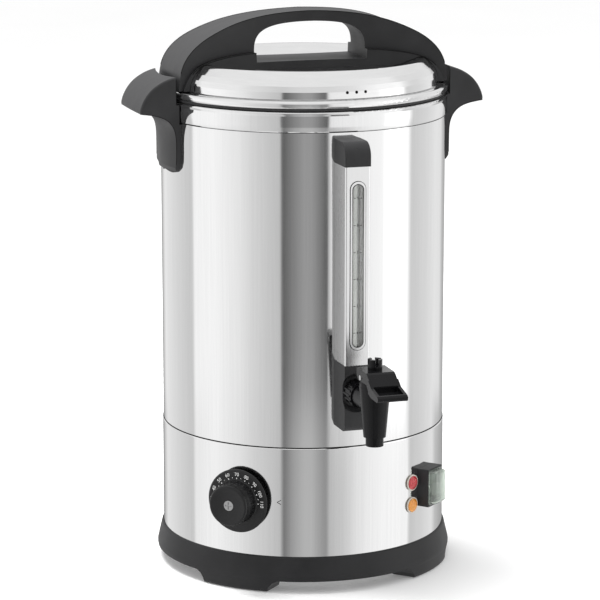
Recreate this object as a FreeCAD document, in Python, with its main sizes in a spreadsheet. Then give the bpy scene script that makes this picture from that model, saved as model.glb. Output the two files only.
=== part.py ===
import FreeCAD, Part
import math
import os
import Sketcher
from FreeCAD import Placement, Rotation, Vector

# Hot drinks urn: a double-walled steel cylinder on a moulded base, with a
# lift-off lid, two side handles, a sight gauge over a lever tap, a thermostat
# knob, two lamps and a covered rocker switch.
# +Z is up, the tap points to -Y, the floor is z = 0. All lengths are in mm.

doc = FreeCAD.newDocument("CoffeeUrn")
sheet = doc.addObject("Spreadsheet::Sheet", "Dims")

TABLE = [
    ("body_r", 125.0, "outer radius of the upper shell"),
    ("skin", 0.6, "steel sheet of the shells"),
    ("tank_r", 118.4, "outer radius of the inner tank"),
    ("tank_floor", 146.0, "underside of the tank floor"),
    ("tank_top", 416.6, "top of the tank wall"),
    ("base_r", 125.6, "outer radius of the base shell"),
    ("base_low", 14.0, "lower edge of the base shell"),
    ("seam_z", 128.0, "joint between the two shells"),
    ("collar_z", 400.8, "lower edge of the collar"),
    ("collar_top", 418.0, "seat of the lid"),
    ("ring_top", 31.5, "top of the base ring"),
    ("ring_low", 10.6, "underside of the base ring between its feet"),
    ("ring_r", 131.0, "largest radius of the base ring"),
    ("ring_in", 110.0, "inner radius of the base ring"),
    ("foot_low", 1.0, "underside of the moulded feet"),
    ("foot_w", 31.0, "half width of a foot at its underside"),
    ("foot_top_w", 42.0, "half width of a foot where it meets the ring"),
    ("pad_r", 7.0, "radius of a rubber foot pad"),
    ("pad_top", 5.0, "top of a rubber foot pad in its pocket"),
    ("rim_r", 126.9, "outer radius of the lid bead"),
    ("dish_z", 442.6, "floor of the dished lid centre"),
    ("ridge_r", 103.4, "radius of the lid ridge"),
    ("ridge_z", 449.8, "top of the lid ridge"),
    ("arch_z", 491.5, "top of the lid handle"),
    ("column_w", 11.0, "half width of the gauge column"),
    ("column_y", 152.6, "front face of the gauge column from the axis"),
    ("column_low", 205.8, "lower end of the gauge column"),
    ("column_high", 375.4, "upper end of the gauge column"),
    ("cap_high", 395.6, "top of the gauge cap"),
    ("slot_w", 4.6, "half width of the gauge slot"),
    ("slot_low", 222.0, "lower end of the gauge slot"),
    ("slot_high", 360.5, "upper end of the gauge slot"),
    ("bracket_low", 148.7, "underside of the tap bracket"),
    ("shank_z", 182.4, "height of the tap shank axis"),
    ("shank_r", 8.0, "radius of the tap shank"),
    ("shank_bore", 5.0, "radius of the tap shank bore"),
    ("tap_y", 198.4, "distance of the tap nozzle from the urn axis"),
    ("barrel_r", 13.1, "radius of the tap barrel at its top"),
    ("barrel_r2", 9.4, "radius of the tap barrel at its foot"),
    ("outlet_r", 7.5, "radius of the tap outlet"),
    ("outlet_bore", 5.0, "radius of the bore of the tap outlet"),
    ("outlet_low", 147.9, "lower end of the tap outlet"),
    ("barrel_low", 155.6, "foot of the tap barrel"),
    ("seat_z", 172.0, "valve seat"),
    ("chamber_r", 9.2, "radius of the valve chamber"),
    ("barrel_top", 198.6, "top of the tap barrel"),
    ("bonnet_top", 202.8, "top of the tap bonnet"),
    ("stem_r", 2.1, "radius of the valve stem"),
    ("pin_z", 206.6, "height of the lever pin"),
    ("pin_r", 1.5, "radius of the lever pin"),
    ("dial_az", -42.8, "bearing of the thermostat dial from the tap"),
    ("dial_z", 80.0, "height of the thermostat dial"),
    ("dial_r", 28.0, "radius of the dial skirt"),
    ("knob_r", 18.7, "radius of the knob grip"),
    ("lamp_az", 31.6, "bearing of the lamps"),
    ("lamp_high", 86.2, "height of the upper lamp"),
    ("lamp_low", 65.9, "height of the lower lamp"),
    ("lamp_r", 5.9, "radius of a lamp lens"),
    ("switch_az", 41.6, "bearing of the switch"),
    ("switch_z", 79.6, "height of the switch centre"),
    ("switch_w", 12.5, "half width of the switch frame"),
    ("switch_hh", 16.9, "half height of the switch frame"),
    ("inlet_z", 70.0, "height of the mains inlet"),
]

VAL = {}
for row, (alias, number, note) in enumerate(TABLE, 1):
    sheet.set("A%d" % row, note)
    sheet.set("B%d" % row, "%g" % number)
    sheet.setAlias("B%d" % row, alias)
    VAL[alias] = float(number)
doc.recompute()


class Dim(object):
    """A length together with the sheet expression that gives it."""

    def __init__(self, val, exp):
        self.val = float(val)
        self.exp = exp

    def __add__(self, other):
        o = dim(other)
        return Dim(self.val + o.val, "(%s + %s)" % (self.exp, o.exp))

    def __radd__(self, other):
        return dim(other) + self

    def __sub__(self, other):
        o = dim(other)
        return Dim(self.val - o.val, "(%s - %s)" % (self.exp, o.exp))

    def __rsub__(self, other):
        return dim(other) - self

    def __mul__(self, other):
        o = dim(other)
        return Dim(self.val * o.val, "(%s * %s)" % (self.exp, o.exp))

    def __rmul__(self, other):
        return dim(other) * self

    def __neg__(self):
        return Dim(-self.val, "(0 - %s)" % self.exp)


def dim(value):
    if isinstance(value, Dim):
        return value
    return Dim(value, "%.10g" % value if value >= 0 else "(0 - %.10g)" % -value)


class Cells(object):
    def __getattr__(self, name):
        return Dim(VAL[name], "Dims." + name)


D = Cells()
serial = [0]


def fresh(stem):
    serial[0] += 1
    return "%s_%03d" % (stem, serial[0])


def bind(obj, prop, value):
    value = dim(value)
    setattr(obj, prop, value.val)
    if "Dims." in value.exp:
        obj.setExpression(prop, value.exp)


def place(obj, base, turn=None):
    base = [dim(b) for b in base]
    obj.Placement = Placement(Vector(*[b.val for b in base]), turn or Rotation())
    for axis, b in zip("xyz", base):
        if "Dims." in b.exp:
            obj.setExpression("Placement.Base." + axis, b.exp)
    return obj


def box(x0, x1, y0, y1, z0, z1):
    """A block between two corners."""
    obj = doc.addObject("Part::Box", fresh("block"))
    bind(obj, "Length", dim(x1) - x0)
    bind(obj, "Width", dim(y1) - y0)
    bind(obj, "Height", dim(z1) - z0)
    return place(obj, (x0, y0, z0))


TURNS = {"z": Rotation(), "y": Rotation(Vector(1, 0, 0), -90), "x": Rotation(Vector(0, 1, 0), 90)}


def along(axis, low, a, b):
    """The point at distance low along an axis, at a and b across it."""
    if axis == "z":
        return (a, b, low)
    if axis == "y":
        return (a, low, b)
    return (low, a, b)


def cyl(axis, r, low, high, a=0.0, b=0.0):
    """A cylinder along x, y or z; a and b are its centre in the other two axes."""
    obj = doc.addObject("Part::Cylinder", fresh("round"))
    bind(obj, "Radius", r)
    bind(obj, "Height", dim(high) - low)
    return place(obj, along(axis, low, a, b), TURNS[axis])


def cone(axis, r_low, r_high, low, high, a=0.0, b=0.0):
    obj = doc.addObject("Part::Cone", fresh("taper"))
    bind(obj, "Radius1", r_low)
    bind(obj, "Radius2", r_high)
    bind(obj, "Height", dim(high) - low)
    return place(obj, along(axis, low, a, b), TURNS[axis])


def torus(axis, big, small, low, a=0.0, b=0.0):
    obj = doc.addObject("Part::Torus", fresh("ring"))
    bind(obj, "Radius1", big)
    bind(obj, "Radius2", small)
    return place(obj, along(axis, low, a, b), TURNS[axis])


def fuse(*parts):
    if len(parts) == 1:
        return parts[0]
    obj = doc.addObject("Part::MultiFuse", fresh("join"))
    obj.Shapes = list(parts)
    return obj


def common(*parts):
    obj = doc.addObject("Part::MultiCommon", fresh("shared"))
    obj.Shapes = list(parts)
    return obj


def cut(base, *tools):
    obj = doc.addObject("Part::Cut", fresh("less"))
    obj.Base = base
    obj.Tool = fuse(*tools)
    return obj


def round_edges(base, radius, test):
    """Round the edges whose midpoint and shape pass the test."""
    doc.recompute()
    picked = [i for i, e in enumerate(base.Shape.Edges, 1)
              if test(e, e.valueAt((e.FirstParameter + e.LastParameter) / 2.0))]
    if not picked:
        raise RuntimeError("no edge to round on " + base.Name)
    obj = doc.addObject("Part::Fillet", fresh("rounded"))
    obj.Base = base
    obj.Edges = [(i, radius, radius) for i in picked]
    doc.recompute()
    if obj.Shape.isNull() or not obj.Shape.isValid():
        raise RuntimeError("rounding failed on " + base.Name)
    return obj


def turned(obj, az):
    """Turn a part that was drawn over the tap to its own bearing."""
    obj.Placement = Placement(Vector(), Rotation(Vector(0, 0, 1), az.val)).multiply(obj.Placement)
    obj.setExpression("Placement.Rotation.Angle", az.exp)
    return obj


def origin_plane(body, role):
    for feature in body.Origin.OriginFeatures:
        if feature.Role == role:
            return feature
    raise RuntimeError("no plane " + role)


def outline(sk, points):
    """Draw a closed outline. Each point is (x, y), or (x, y, (mx, my)) when an
    arc through (mx, my) leads from it to the next point."""
    pts = [(dim(p[0]), dim(p[1]), p[2] if len(p) > 2 else None) for p in points]
    n = len(pts)
    ends = []
    for i in range(n):
        ax, ay, mid = pts[i]
        bx, by, _ = pts[(i + 1) % n]
        a = Vector(ax.val, ay.val, 0)
        b = Vector(bx.val, by.val, 0)
        if mid is None:
            g = sk.addGeometry(Part.LineSegment(a, b), False)
            ends.append((g, 1, 2, None))
            continue
        m = Vector(mid[0], mid[1], 0)
        arc = Part.Arc(a, m, b).toShape().Curve
        c, r = arc.Center, arc.Radius
        ta = math.atan2(a.y - c.y, a.x - c.x)
        tb = math.atan2(b.y - c.y, b.x - c.x)
        left = (m.x - a.x) * (b.y - a.y) - (m.y - a.y) * (b.x - a.x) > 0
        circle = Part.Circle(Vector(c.x, c.y, 0), Vector(0, 0, 1), r)
        if left:
            while tb < ta:
                tb += 2 * math.pi
            g = sk.addGeometry(Part.ArcOfCircle(circle, ta, tb), False)
            ends.append((g, 1, 2, r))
        else:
            while ta < tb:
                ta += 2 * math.pi
            g = sk.addGeometry(Part.ArcOfCircle(circle, tb, ta), False)
            ends.append((g, 2, 1, r))
    for i in range(n):
        g, s, e, r = ends[i]
        g2, s2, e2, r2 = ends[(i + 1) % n]
        sk.addConstraint(Sketcher.Constraint("Coincident", g, e, g2, s2))
    for i in range(n):
        g, s, e, r = ends[i]
        x, y, _ = pts[i]
        for value, kind, axis in ((x, "DistanceX", -2), (y, "DistanceY", -1)):
            if abs(value.val) < 1e-9:
                sk.addConstraint(Sketcher.Constraint("PointOnObject", g, s, axis))
            else:
                k = sk.addConstraint(Sketcher.Constraint(kind, -1, 1, g, s, value.val))
                if "Dims." in value.exp:
                    sk.setExpression("Constraints[%d]" % k, value.exp)
        if r is not None:
            sk.addConstraint(Sketcher.Constraint("Radius", g, r))


def new_body(label):
    body = doc.addObject("PartDesign::Body", fresh("body"))
    body.Label = label
    return body


def sketch_on(body, role, points, offset=0.0, az=None):
    """A sketch on one of the body's own origin planes. On XZ_Plane its x is
    across, its y is up and its normal points to the tap; az turns it about the
    urn axis."""
    sk = body.newObject("Sketcher::SketchObject", fresh("sketch"))
    sk.AttachmentSupport = [(origin_plane(body, role), "")]
    sk.MapMode = "FlatFace"
    turn = Rotation() if az is None else Rotation(Vector(0, 1, 0), az)
    shift = turn.multVec(Vector(0, 0, dim(offset).val))
    sk.AttachmentOffset = Placement(shift, turn)
    outline(sk, points)
    return sk


def revolve(body, points):
    sk = sketch_on(body, "XZ_Plane", points)
    rev = body.newObject("PartDesign::Revolution", fresh("revolve"))
    rev.Profile = sk
    rev.ReferenceAxis = (sk, ["V_Axis"])
    rev.Angle = 360.0
    return rev


def pad(body, role, points, length, both=False, offset=0.0, az=None, flip=False):
    sk = sketch_on(body, role, points, offset, az)
    feat = body.newObject("PartDesign::Pad", fresh("pad"))
    feat.Profile = sk
    bind(feat, "Length", length)
    feat.Midplane = both
    feat.Reversed = flip
    return feat


def pocket(body, role, points, length, both=False, offset=0.0, az=None, flip=False):
    """Cut a prism out of the body and make sure that it removed something."""
    doc.recompute()
    before = body.Shape.Volume
    sk = sketch_on(body, role, points, offset, az)
    feat = body.newObject("PartDesign::Pocket", fresh("pocket"))
    feat.Profile = sk
    bind(feat, "Length", length)
    feat.Midplane = both
    feat.Reversed = flip
    doc.recompute()
    if not before - body.Shape.Volume > 0.01:
        raise RuntimeError("a pocket in %s cuts nothing" % body.Label)
    return feat


def hole(body, az, x, z, r, deep):
    """A round hole through the wall of a shell, on the side of bearing az."""
    doc.recompute()
    before = body.Shape.Volume
    sk = body.newObject("Sketcher::SketchObject", fresh("sketch"))
    sk.AttachmentSupport = [(origin_plane(body, "XZ_Plane"), "")]
    sk.MapMode = "FlatFace"
    turn = Rotation(Vector(0, 1, 0), az)
    sk.AttachmentOffset = Placement(turn.multVec(Vector(0, 0, 100.0)), turn)
    x, z, r = dim(x), dim(z), dim(r)
    g = sk.addGeometry(Part.Circle(Vector(x.val, z.val, 0), Vector(0, 0, 1), r.val), False)
    k = sk.addConstraint(Sketcher.Constraint("Radius", g, r.val))
    if "Dims." in r.exp:
        sk.setExpression("Constraints[%d]" % k, r.exp)
    if abs(x.val) < 1e-9:
        sk.addConstraint(Sketcher.Constraint("PointOnObject", g, 3, -2))
    else:
        sk.addConstraint(Sketcher.Constraint("DistanceX", -1, 1, g, 3, x.val))
    k = sk.addConstraint(Sketcher.Constraint("DistanceY", -1, 1, g, 3, z.val))
    if "Dims." in z.exp:
        sk.setExpression("Constraints[%d]" % k, z.exp)
    feat = body.newObject("PartDesign::Pocket", fresh("pocket"))
    feat.Profile = sk
    feat.Length = deep
    feat.Reversed = True
    doc.recompute()
    if not before - body.Shape.Volume > 0.01:
        raise RuntimeError("a hole in %s cuts nothing" % body.Label)
    return feat


def rect(x0, x1, y0, y1):
    return [(x0, y0), (x1, y0), (x1, y1), (x0, y1)]


NODES = []


def node(obj, label):
    obj.Label = label
    NODES.append(obj)
    return obj


# ---------------------------------------------------------------- the base
# Moulded ring: a flared wall round the foot of the base shell and an inward
# flange that carries the shell and the closing plate.
ring_body = new_body("ring_profile")
revolve(ring_body, [
    (D.ring_in, D.ring_low), (D.ring_r, D.ring_low, (131.2, 13.2)), (130.7, 16.0),
    (127.4, D.ring_top - 1.2, (127.0, 31.0)), (D.base_r + 0.15, D.ring_top),
    (D.base_r + 0.15, D.base_low), (D.ring_in, D.base_low)])

# Four feet at 45 degrees: sectors of the same section, each cut to a trapezoid
# with sloped shoulders.
foot_ring = new_body("foot_profile")
revolve(foot_ring, [(D.ring_in, D.foot_low), (D.ring_r - 0.6, D.foot_low), (D.ring_r, D.foot_low + 2.0),
                    (D.ring_r, D.ring_low + 0.5), (D.ring_in, D.ring_low + 0.5)])
feet_keep = []
for k in range(2):
    keep = new_body("foot_keep_%d" % k)
    pad(keep, "XZ_Plane", [
        (-D.foot_w, D.foot_low - 1), (D.foot_w, D.foot_low - 1), (D.foot_w + 1.2, D.foot_low + 3.4),
        (D.foot_w + 4.5, D.foot_low + 7.4), (D.foot_top_w, D.ring_low + 1.0),
        (-D.foot_top_w, D.ring_low + 1.0), (-(D.foot_w + 4.5), D.foot_low + 7.4),
        (-(D.foot_w + 1.2), D.foot_low + 3.4)], 300.0, both=True, az=45.0 + 90.0 * k)
    feet_keep.append(keep)
feet = common(foot_ring, fuse(*feet_keep))
pad_holes = []
pads = []
screw_holes = []
screws = []
for k in range(4):
    a = math.radians(45 + 90 * k)
    px, py = 121.0 * math.sin(a), -121.0 * math.cos(a)
    pad_holes.append(cyl("z", D.pad_r, 0.5, D.pad_top, px, py))
    pads.append(cyl("z", D.pad_r, 0.0, D.pad_top, px, py))
    b = math.radians(90 * k)
    sx, sy = 116.5 * math.sin(b), -116.5 * math.cos(b)
    screw_holes.append(cyl("z", 1.9, D.ring_low - 1, D.base_low + 1, sx, sy))
    screws.append(fuse(cyl("z", 1.6, D.ring_low, D.base_low + 5.0, sx, sy),
                       cut(cyl("z", 3.4, D.ring_low - 1.9, D.ring_low, sx, sy),
                           box(sx - 2.4, sx + 2.4, sy - 0.45, sy + 0.45, D.ring_low - 2.2, D.ring_low - 1.1))))
node(cut(fuse(ring_body, feet), *(pad_holes + screw_holes)), "base_ring")
node(fuse(*pads), "foot_pads")

# Closing plate on the flange, with a hole for the reset button, vent slots and
# four screw holes.
plate = cyl("z", D.base_r - D.skin - 0.5, D.base_low, D.base_low + 1.0)
vents = []
for k in range(-3, 4):
    vents.append(box(40.0 - abs(k) * 2, 84.0 - abs(k) * 3, 9.0 * k - 2.0, 9.0 * k + 2.0, D.base_low - 1, D.base_low + 2))
    vents.append(box(-84.0 + abs(k) * 3, -40.0 + abs(k) * 2, 9.0 * k - 2.0, 9.0 * k + 2.0, D.base_low - 1, D.base_low + 2))
plate_screw_holes = []
for k in range(4):
    b = math.radians(90 * k)
    plate_screw_holes.append(cyl("z", 1.7, D.base_low - 1, D.base_low + 2, 116.5 * math.sin(b), -116.5 * math.cos(b)))
node(cut(plate, cyl("z", 3.4, D.base_low - 1, D.base_low + 2, 0.0, 60.0), *(vents + plate_screw_holes)), "bottom_plate")
node(fuse(*screws), "bottom_screws")

# ---------------------------------------------------------------- the shells
# Base shell: a tube whose upper edge is joggled to slip inside the upper shell.
base_shell = new_body("base_shell")
revolve(base_shell, [
    (D.base_r - D.skin, D.base_low), (D.base_r, D.base_low), (D.base_r, D.seam_z - 1.6, (125.5, 127.3)),
    (D.body_r - 0.1, D.seam_z - 0.1), (D.body_r - D.skin - 0.1, D.seam_z + 0.4),
    (D.body_r - D.skin - 0.1, D.seam_z + 9.0), (D.body_r - 2 * D.skin - 0.1, D.seam_z + 9.0),
    (D.body_r - 2 * D.skin - 0.1, D.seam_z - 0.4), (D.base_r - D.skin, D.seam_z - 2.4)])
hole(base_shell, VAL["dial_az"], 0.0, D.dial_z, 5.2, 40.0)
hole(base_shell, VAL["lamp_az"], 0.0, D.lamp_high, 5.0, 40.0)
hole(base_shell, VAL["lamp_az"], 0.0, D.lamp_low, 5.0, 40.0)
pocket(base_shell, "XZ_Plane", rect(-10.0, 10.0, D.switch_z - 14.0, D.switch_z + 14.0), 40.0,
       offset=100.0, az=VAL["switch_az"], flip=True)
pocket(base_shell, "XZ_Plane", rect(-14.2, 14.2, D.inlet_z - 10.2, D.inlet_z + 10.2), 40.0,
       offset=100.0, az=180.0, flip=True)
for x in (-20.0, 20.0):
    hole(base_shell, 180.0, x, D.inlet_z, 1.7, 40.0)
base_shell.Label = "base_shell"
NODES.append(base_shell)

# Upper shell: a plain tube with the tap shank hole and two screw holes under
# each side handle.
outer_shell = new_body("outer_shell")
revolve(outer_shell, [
    (D.body_r - D.skin, D.seam_z + 0.6), (D.body_r, D.seam_z + 0.6),
    (D.body_r, D.collar_z - 0.3), (D.body_r - D.skin, D.collar_z - 0.3)])
hole(outer_shell, 0.0, 0.0, D.shank_z, D.shank_r + 0.3, 40.0)
for az in (-90.0, 90.0):
    for z in (366.0, 391.0):
        hole(outer_shell, az, 0.0, z, 2.2, 40.0)
NODES.append(outer_shell)

# Collar: a thin pressed ring that joins the top of the shell to the tank, with
# a slight bulge and a rolled, flat-topped edge.
collar = new_body("collar_ring")
revolve(collar, [
    (D.body_r + 0.1, D.collar_z), (D.body_r + 0.75, D.collar_z + 0.8, (126.1, 408.2)), (D.body_r + 0.8, D.collar_top - 3.4),
    (D.body_r + 1.3, D.collar_top - 1.9, (126.0, 417.6)), (D.body_r - 0.6, D.collar_top),
    (D.tank_r + 2.1, D.collar_top, (119.0, 417.5)), (D.tank_r + 0.05, D.collar_top - 2.0),
    (D.tank_r + 0.05, D.collar_top - 8.0), (D.tank_r + 0.7, D.collar_top - 8.0),
    (D.tank_r + 0.7, D.collar_top - 2.0, (119.55, 417.0)), (D.tank_r + 2.1, D.collar_top - 0.7),
    (D.body_r - 0.8, D.collar_top - 0.7, (125.2, 417.0)), (D.body_r + 0.5, D.collar_top - 2.2),
    (D.body_r + 0.1, D.collar_top - 3.4, (125.4, 408.2)), (D.body_r + 0.1, D.collar_z + 1.0)])
NODES.append(collar)

# Inner tank: deep drawn, with a rounded floor corner, open at the top.
tank = new_body("inner_tank")
revolve(tank, [
    (0.0, D.tank_floor), (D.tank_r - 8.0, D.tank_floor, (116.1, 148.3)), (D.tank_r, D.tank_floor + 8.0),
    (D.tank_r, D.tank_top), (D.tank_r - D.skin, D.tank_top),
    (D.tank_r - D.skin, D.tank_floor + 8.2, (115.5, 149.0)), (D.tank_r - 8.0, D.tank_floor + 0.8),
    (0.0, D.tank_floor + 0.8)])
hole(tank, 0.0, 0.0, D.shank_z, D.shank_r + 0.2, 40.0)
NODES.append(tank)

# ---------------------------------------------------------------- heating
# Sheathed element brazed under the tank floor, with two cold ends.
element = new_body("element_ring")
revolve(element, [
    (62.0, D.tank_floor - 8.0), (70.0, D.tank_floor - 8.0), (70.0, D.tank_floor - 1.6), (62.0, D.tank_floor - 1.6)])
spreader = cyl("z", 84.0, D.tank_floor - 1.6, D.tank_floor)
gap = box(-16.0, 16.0, 50.0, 80.0, D.tank_floor - 9.0, D.tank_floor - 1.6)
ends = fuse(cyl("z", 3.2, D.tank_floor - 20.0, D.tank_floor - 1.6, -20.5, 62.8),
            cyl("z", 3.2, D.tank_floor - 20.0, D.tank_floor - 1.6, 20.5, 62.8))
node(fuse(cut(element, gap), spreader, ends), "heating_element")
node(fuse(box(-26.4, -14.6, 57.8, 67.8, D.tank_floor - 34.0, D.tank_floor - 20.0),
          box(14.6, 26.4, 57.8, 67.8, D.tank_floor - 34.0, D.tank_floor - 20.0),
          box(-14.6, 14.6, 60.0, 65.6, D.tank_floor - 32.0, D.tank_floor - 24.0)), "terminal_block")

# Control thermostat behind the dial, its turning shaft, and its probe on the
# tank floor.
thermostat = cut(fuse(box(-18.0, 18.0, -117.0, -92.0, D.dial_z - 20.0, D.dial_z + 20.0),
                      cyl("y", 4.8, -127.5, -117.0, 0.0, D.dial_z)),
                 cyl("y", 3.06, -128.0, -100.0, 0.0, D.dial_z))
node(turned(thermostat, D.dial_az), "thermostat_body")
shaft = cut(cyl("y", 3.0, -141.0, -101.0, 0.0, D.dial_z),
            box(-4.0, 4.0, -142.0, -129.4, D.dial_z + 1.6, D.dial_z + 4.0))
node(turned(shaft, D.dial_az), "thermostat_shaft")
node(fuse(cyl("z", 3.0, D.tank_floor - 12.0, D.tank_floor - 1.6, 0.0, 0.0),
          box(-8.0, 8.0, -4.0, 4.0, D.tank_floor - 15.0, D.tank_floor - 12.0)), "thermostat_probe")

# Manual-reset cut-out on the closing plate; its button comes up to a hole that
# is reached from below.
node(cut(box(-17.0, 17.0, 46.0, 74.0, D.base_low + 1.0, D.base_low + 24.0),
         cyl("z", 3.0, D.base_low, D.base_low + 12.0, 0.0, 60.0),
         cyl("z", 4.3, D.base_low + 2.4, D.base_low + 8.6, 0.0, 60.0)), "thermal_cutout")
node(fuse(cyl("z", 2.95, D.base_low - 1.6, D.base_low + 8.0, 0.0, 60.0),
          cyl("z", 4.2, D.base_low + 2.6, D.base_low + 5.0, 0.0, 60.0)), "reset_button")

# ---------------------------------------------------------------- dial
# Skirt and grip are one moulding that turns with the shaft.
knob = new_body("thermostat_knob_profile")
revolve(knob, [
    (0.0, 0.0), (27.2, 0.0), (D.dial_r, 0.8), (D.dial_r, 1.6), (D.dial_r - 1.2, 2.6), (20.6, 3.2, (19.3, 3.6)),
    (D.knob_r, 5.0), (D.knob_r - 0.9, 18.6, (17.4, 20.3)), (15.8, 20.8, (9.0, 19.7)), (4.6, 19.3),
    (4.6, 18.0), (0.0, 18.0)])
notches = []
for k in range(24):
    a = math.radians(15 * k + 7.5)
    notches.append(cyl("z", 0.75, 6.0, 19.0, (VAL["knob_r"] + 0.25) * math.cos(a), (VAL["knob_r"] + 0.25) * math.sin(a)))
knob_cut = cut(knob, cut(cyl("z", 3.02, -1.0, 11.0), box(1.62, 4.0, -4.0, 4.0, 0.0, 12.0)),
               cyl("z", 1.3, 10.0, 18.5), *notches)
knob_cut.Placement = Placement(Vector(0, -130.0, VAL["dial_z"]), Rotation(Vector(1, 0, 0), 90).multiply(Rotation(Vector(0, 0, 1), 90)))
doc.recompute()
knob_turned = doc.addObject("Part::MultiFuse", fresh("join"))
knob_turned.Shapes = [knob_cut, cyl("y", 18.0, -147.9, -144.2, 0.0, D.dial_z)]
knob_final = cut(knob_turned, cyl("y", 4.6, -149.5, -148.0, 0.0, D.dial_z), cyl("y", 1.3, -150.0, -140.0, 0.0, D.dial_z),
                 cone("y", 15.5, 15.5, -151.2, -150.7, 0.0, D.dial_z))
node(turned(knob_final, D.dial_az), "thermostat_knob")
node(turned(cut(fuse(cyl("y", 4.4, -149.2, -148.0, 0.0, D.dial_z), cyl("y", 1.3, -148.0, -141.0, 0.0, D.dial_z)),
                box(-0.5, 0.5, -150.0, -148.6, D.dial_z - 3.2, D.dial_z + 3.2),
                box(-3.2, 3.2, -150.0, -148.6, D.dial_z - 0.5, D.dial_z + 0.5)), D.dial_az), "knob_screw")

# ---------------------------------------------------------------- lamps
for label, height in (("lamp_red", D.lamp_high), ("lamp_amber", D.lamp_low)):
    lens = fuse(cyl("y", 4.9, -126.0, -104.0, 0.0, height), cyl("y", D.lamp_r, -127.6, -126.0, 0.0, height),
                cone("y", 4.0, D.lamp_r, -128.6, -127.6, 0.0, height))
    node(turned(lens, D.lamp_az), label)
bezels = []
for height in (D.lamp_high, D.lamp_low):
    bezels.append(cut(cyl("y", 7.1, -127.0, -125.9, 0.0, height), cyl("y", D.lamp_r + 0.05, -128.0, -125.0, 0.0, height),
                      cyl("z", D.base_r + 0.02, 0.0, 110.0)))
node(turned(fuse(*bezels), D.lamp_az), "lamp_bezels")

# ---------------------------------------------------------------- switch
# Frame with a body that snaps into the shell, a rocker, and a clear cover that
# is domed over it.
sz = D.switch_z
frame_block = cut(box(-D.switch_w, D.switch_w, -135.0, -124.0, sz - D.switch_hh, sz + D.switch_hh),
                  cyl("z", D.base_r + 0.05, 0.0, 120.0))
frame_block = round_edges(frame_block, 1.2, lambda e, m: abs(m.x) > 12.4 and abs(m.y + 130) < 4.9 and e.BoundBox.YLength > 3 and e.BoundBox.ZLength < 0.01)
frame_all = fuse(frame_block, box(-9.9, 9.9, -129.0, -98.0, sz - 13.9, sz + 13.9))
frame_cut = cut(frame_all, box(-7.6, 7.6, -136.0, -112.0, sz - 12.0, sz + 12.0), cyl("x", 1.05, -8.8, 8.8, -120.5, sz))
node(turned(frame_cut, D.switch_az), "switch_frame")
rocker = new_body("rocker_profile")
pad(rocker, "YZ_Plane", [
    (-14.9, -9.8), (-12.6, 0.0), (-14.9, 9.8), (-8.0, 9.8), (-2.6, 4.0), (3.0, 3.0),
    (3.0, -3.0), (-2.6, -4.0), (-8.0, -9.8)], 14.6, both=True)
rocker_bored = cut(rocker, cyl("x", 1.55, -8.0, 8.0, 0.0, 0.0))
rocker_bored.Placement = Placement(Vector(0, -120.5, VAL["switch_z"]), Rotation(Vector(1, 0, 0), -7.6))
rocker_bored.setExpression("Placement.Base.z", "Dims.switch_z")
rocker_trim = box(-7.3, 7.3, -140.0, -110.0, sz - 20.0, sz + 20.0)
node(turned(common(rocker_bored, rocker_trim), D.switch_az), "switch_rocker")
node(turned(fuse(cyl("x", 1.5, -7.5, 7.5, -120.5, sz), cyl("x", 1.0, -8.6, 8.6, -120.5, sz)), D.switch_az), "rocker_pin")
cover_out = round_edges(box(-9.6, 9.6, -141.6, -135.0, sz - 14.4, sz + 14.4), 2.6,
                        lambda e, m: m.y < -135.5)
cover_in = round_edges(box(-8.7, 8.7, -140.8, -134.0, sz - 13.5, sz + 13.5), 2.0,
                       lambda e, m: m.y < -135.5)
cover_lip = cut(box(-11.2, 11.2, -135.7, -135.0, sz - 15.6, sz + 15.6), box(-9.2, 9.2, -136.0, -134.0, sz - 14.0, sz + 14.0))
node(turned(cut(fuse(cover_out, cover_lip), cover_in), D.switch_az), "switch_cover")

# ---------------------------------------------------------------- mains inlet
iz = D.inlet_z
inlet = cut(fuse(cut(box(-25.0, 25.0, -129.6, -120.0, iz - 12.5, iz + 12.5), cyl("z", D.base_r + 0.05, 0.0, 120.0)),
                 box(-14.0, 14.0, -127.0, -100.0, iz - 10.0, iz + 10.0)),
            box(-12.2, 12.2, -131.0, -111.0, iz - 8.2, iz + 8.2),
            cyl("y", 1.6, -131.0, -120.0, -20.0, iz), cyl("y", 1.6, -131.0, -120.0, 20.0, iz),
            box(-8.2, -5.8, -112.0, -98.0, iz - 3.2, iz - 0.8), box(5.8, 8.2, -112.0, -98.0, iz - 3.2, iz - 0.8),
            box(-1.2, 1.2, -112.0, -98.0, iz + 0.8, iz + 3.2))
node(turned(inlet, Dim(180.0, "(Dims.dial_az * 0 + 180)")), "inlet_socket")
pins = fuse(box(-8.2, -5.8, -124.0, -95.0, iz - 3.2, iz - 0.8), box(5.8, 8.2, -124.0, -95.0, iz - 3.2, iz - 0.8),
            box(-1.2, 1.2, -125.0, -95.0, iz + 0.8, iz + 3.2))
node(turned(pins, Dim(180.0, "(Dims.dial_az * 0 + 180)")), "inlet_pins")
ins = []
for x in (-20.0, 20.0):
    ins.append(cut(fuse(cyl("y", 1.5, -129.6, -115.0, x, iz), cyl("y", 3.0, -131.2, -129.6, x, iz)),
                   box(x - 2.0, x + 2.0, -132.0, -130.6, iz - 0.4, iz + 0.4),
                   box(x - 0.4, x + 0.4, -132.0, -130.6, iz - 2.0, iz + 2.0)))
node(turned(fuse(*ins), Dim(180.0, "(Dims.dial_az * 0 + 180)")), "inlet_screws")

# ---------------------------------------------------------------- side handles
# Moulded ears with a tapering leg; the side view and the width are drawn as
# two outlines, and the solid is what both have in common, cut to the shell.


def smooth(points):
    curve = Part.BSplineCurve()
    curve.interpolate([Vector(*p) for p in points])
    return curve.toShape()


def line(p, q):
    return Part.LineSegment(Vector(*p), Vector(*q)).toShape()


def prism(edges, sweep):
    return Part.Face(Part.Wire(edges)).extrude(Vector(*sweep))


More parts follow.
